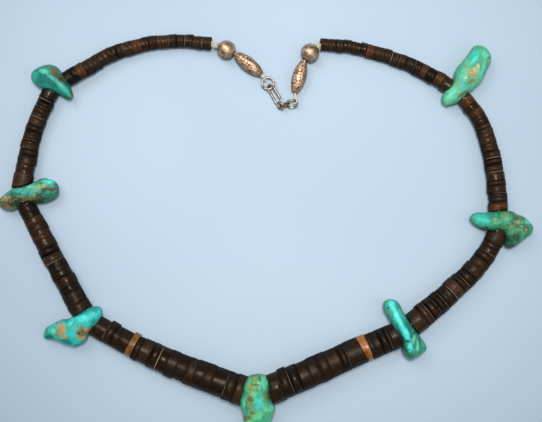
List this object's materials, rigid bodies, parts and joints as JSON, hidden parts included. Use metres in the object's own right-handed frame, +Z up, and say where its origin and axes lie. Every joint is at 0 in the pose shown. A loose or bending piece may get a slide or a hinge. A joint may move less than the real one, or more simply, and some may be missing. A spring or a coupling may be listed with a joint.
{
  "type": "heishi bead necklace",
  "caption": "Closed necklace loop of graduated dark shell discs with tumbled turquoise nuggets, silver beads and a fastened hook-and-ring clasp, lying on a surface.",
  "frame": {"origin": "centre of the bounding box in plan, on the surface the necklace lies on", "axes": "+X to the right across the loop as seen from above with the clasp at the top, +Y from the centre stone towards the clasp, +Z up"},
  "size_m": [0.197, 0.1476, 0.0112],
  "materials": {
    "heishi": "polished",
    "amber": "polished",
    "turquoise": "polished",
    "silver": "tarnished",
    "clasp_wire": "tarnished",
    "thread": "twisted"
  },
  "bodies": {
    "root": {"heishi_left": "heishi", "heishi_right": "heishi", "amber_disc_left": "amber", "amber_disc_right": "amber", "nugget_left_top": "turquoise", "nugget_left_middle": "turquoise", "nugget_left_bottom": "turquoise", "nugget_center": "turquoise", "nugget_right_bottom": "turquoise", "nugget_right_middle": "turquoise", "nugget_right_top": "turquoise", "round_bead_left": "silver", "round_bead_right": "silver", "barrel_bead_left": "silver", "barrel_bead_right": "silver", "thread": "thread", "jump_ring": "clasp_wire", "hook": "clasp_wire", "chain_link": "clasp_wire", "end_ring": "clasp_wire"}
  },
  "joints": []
}
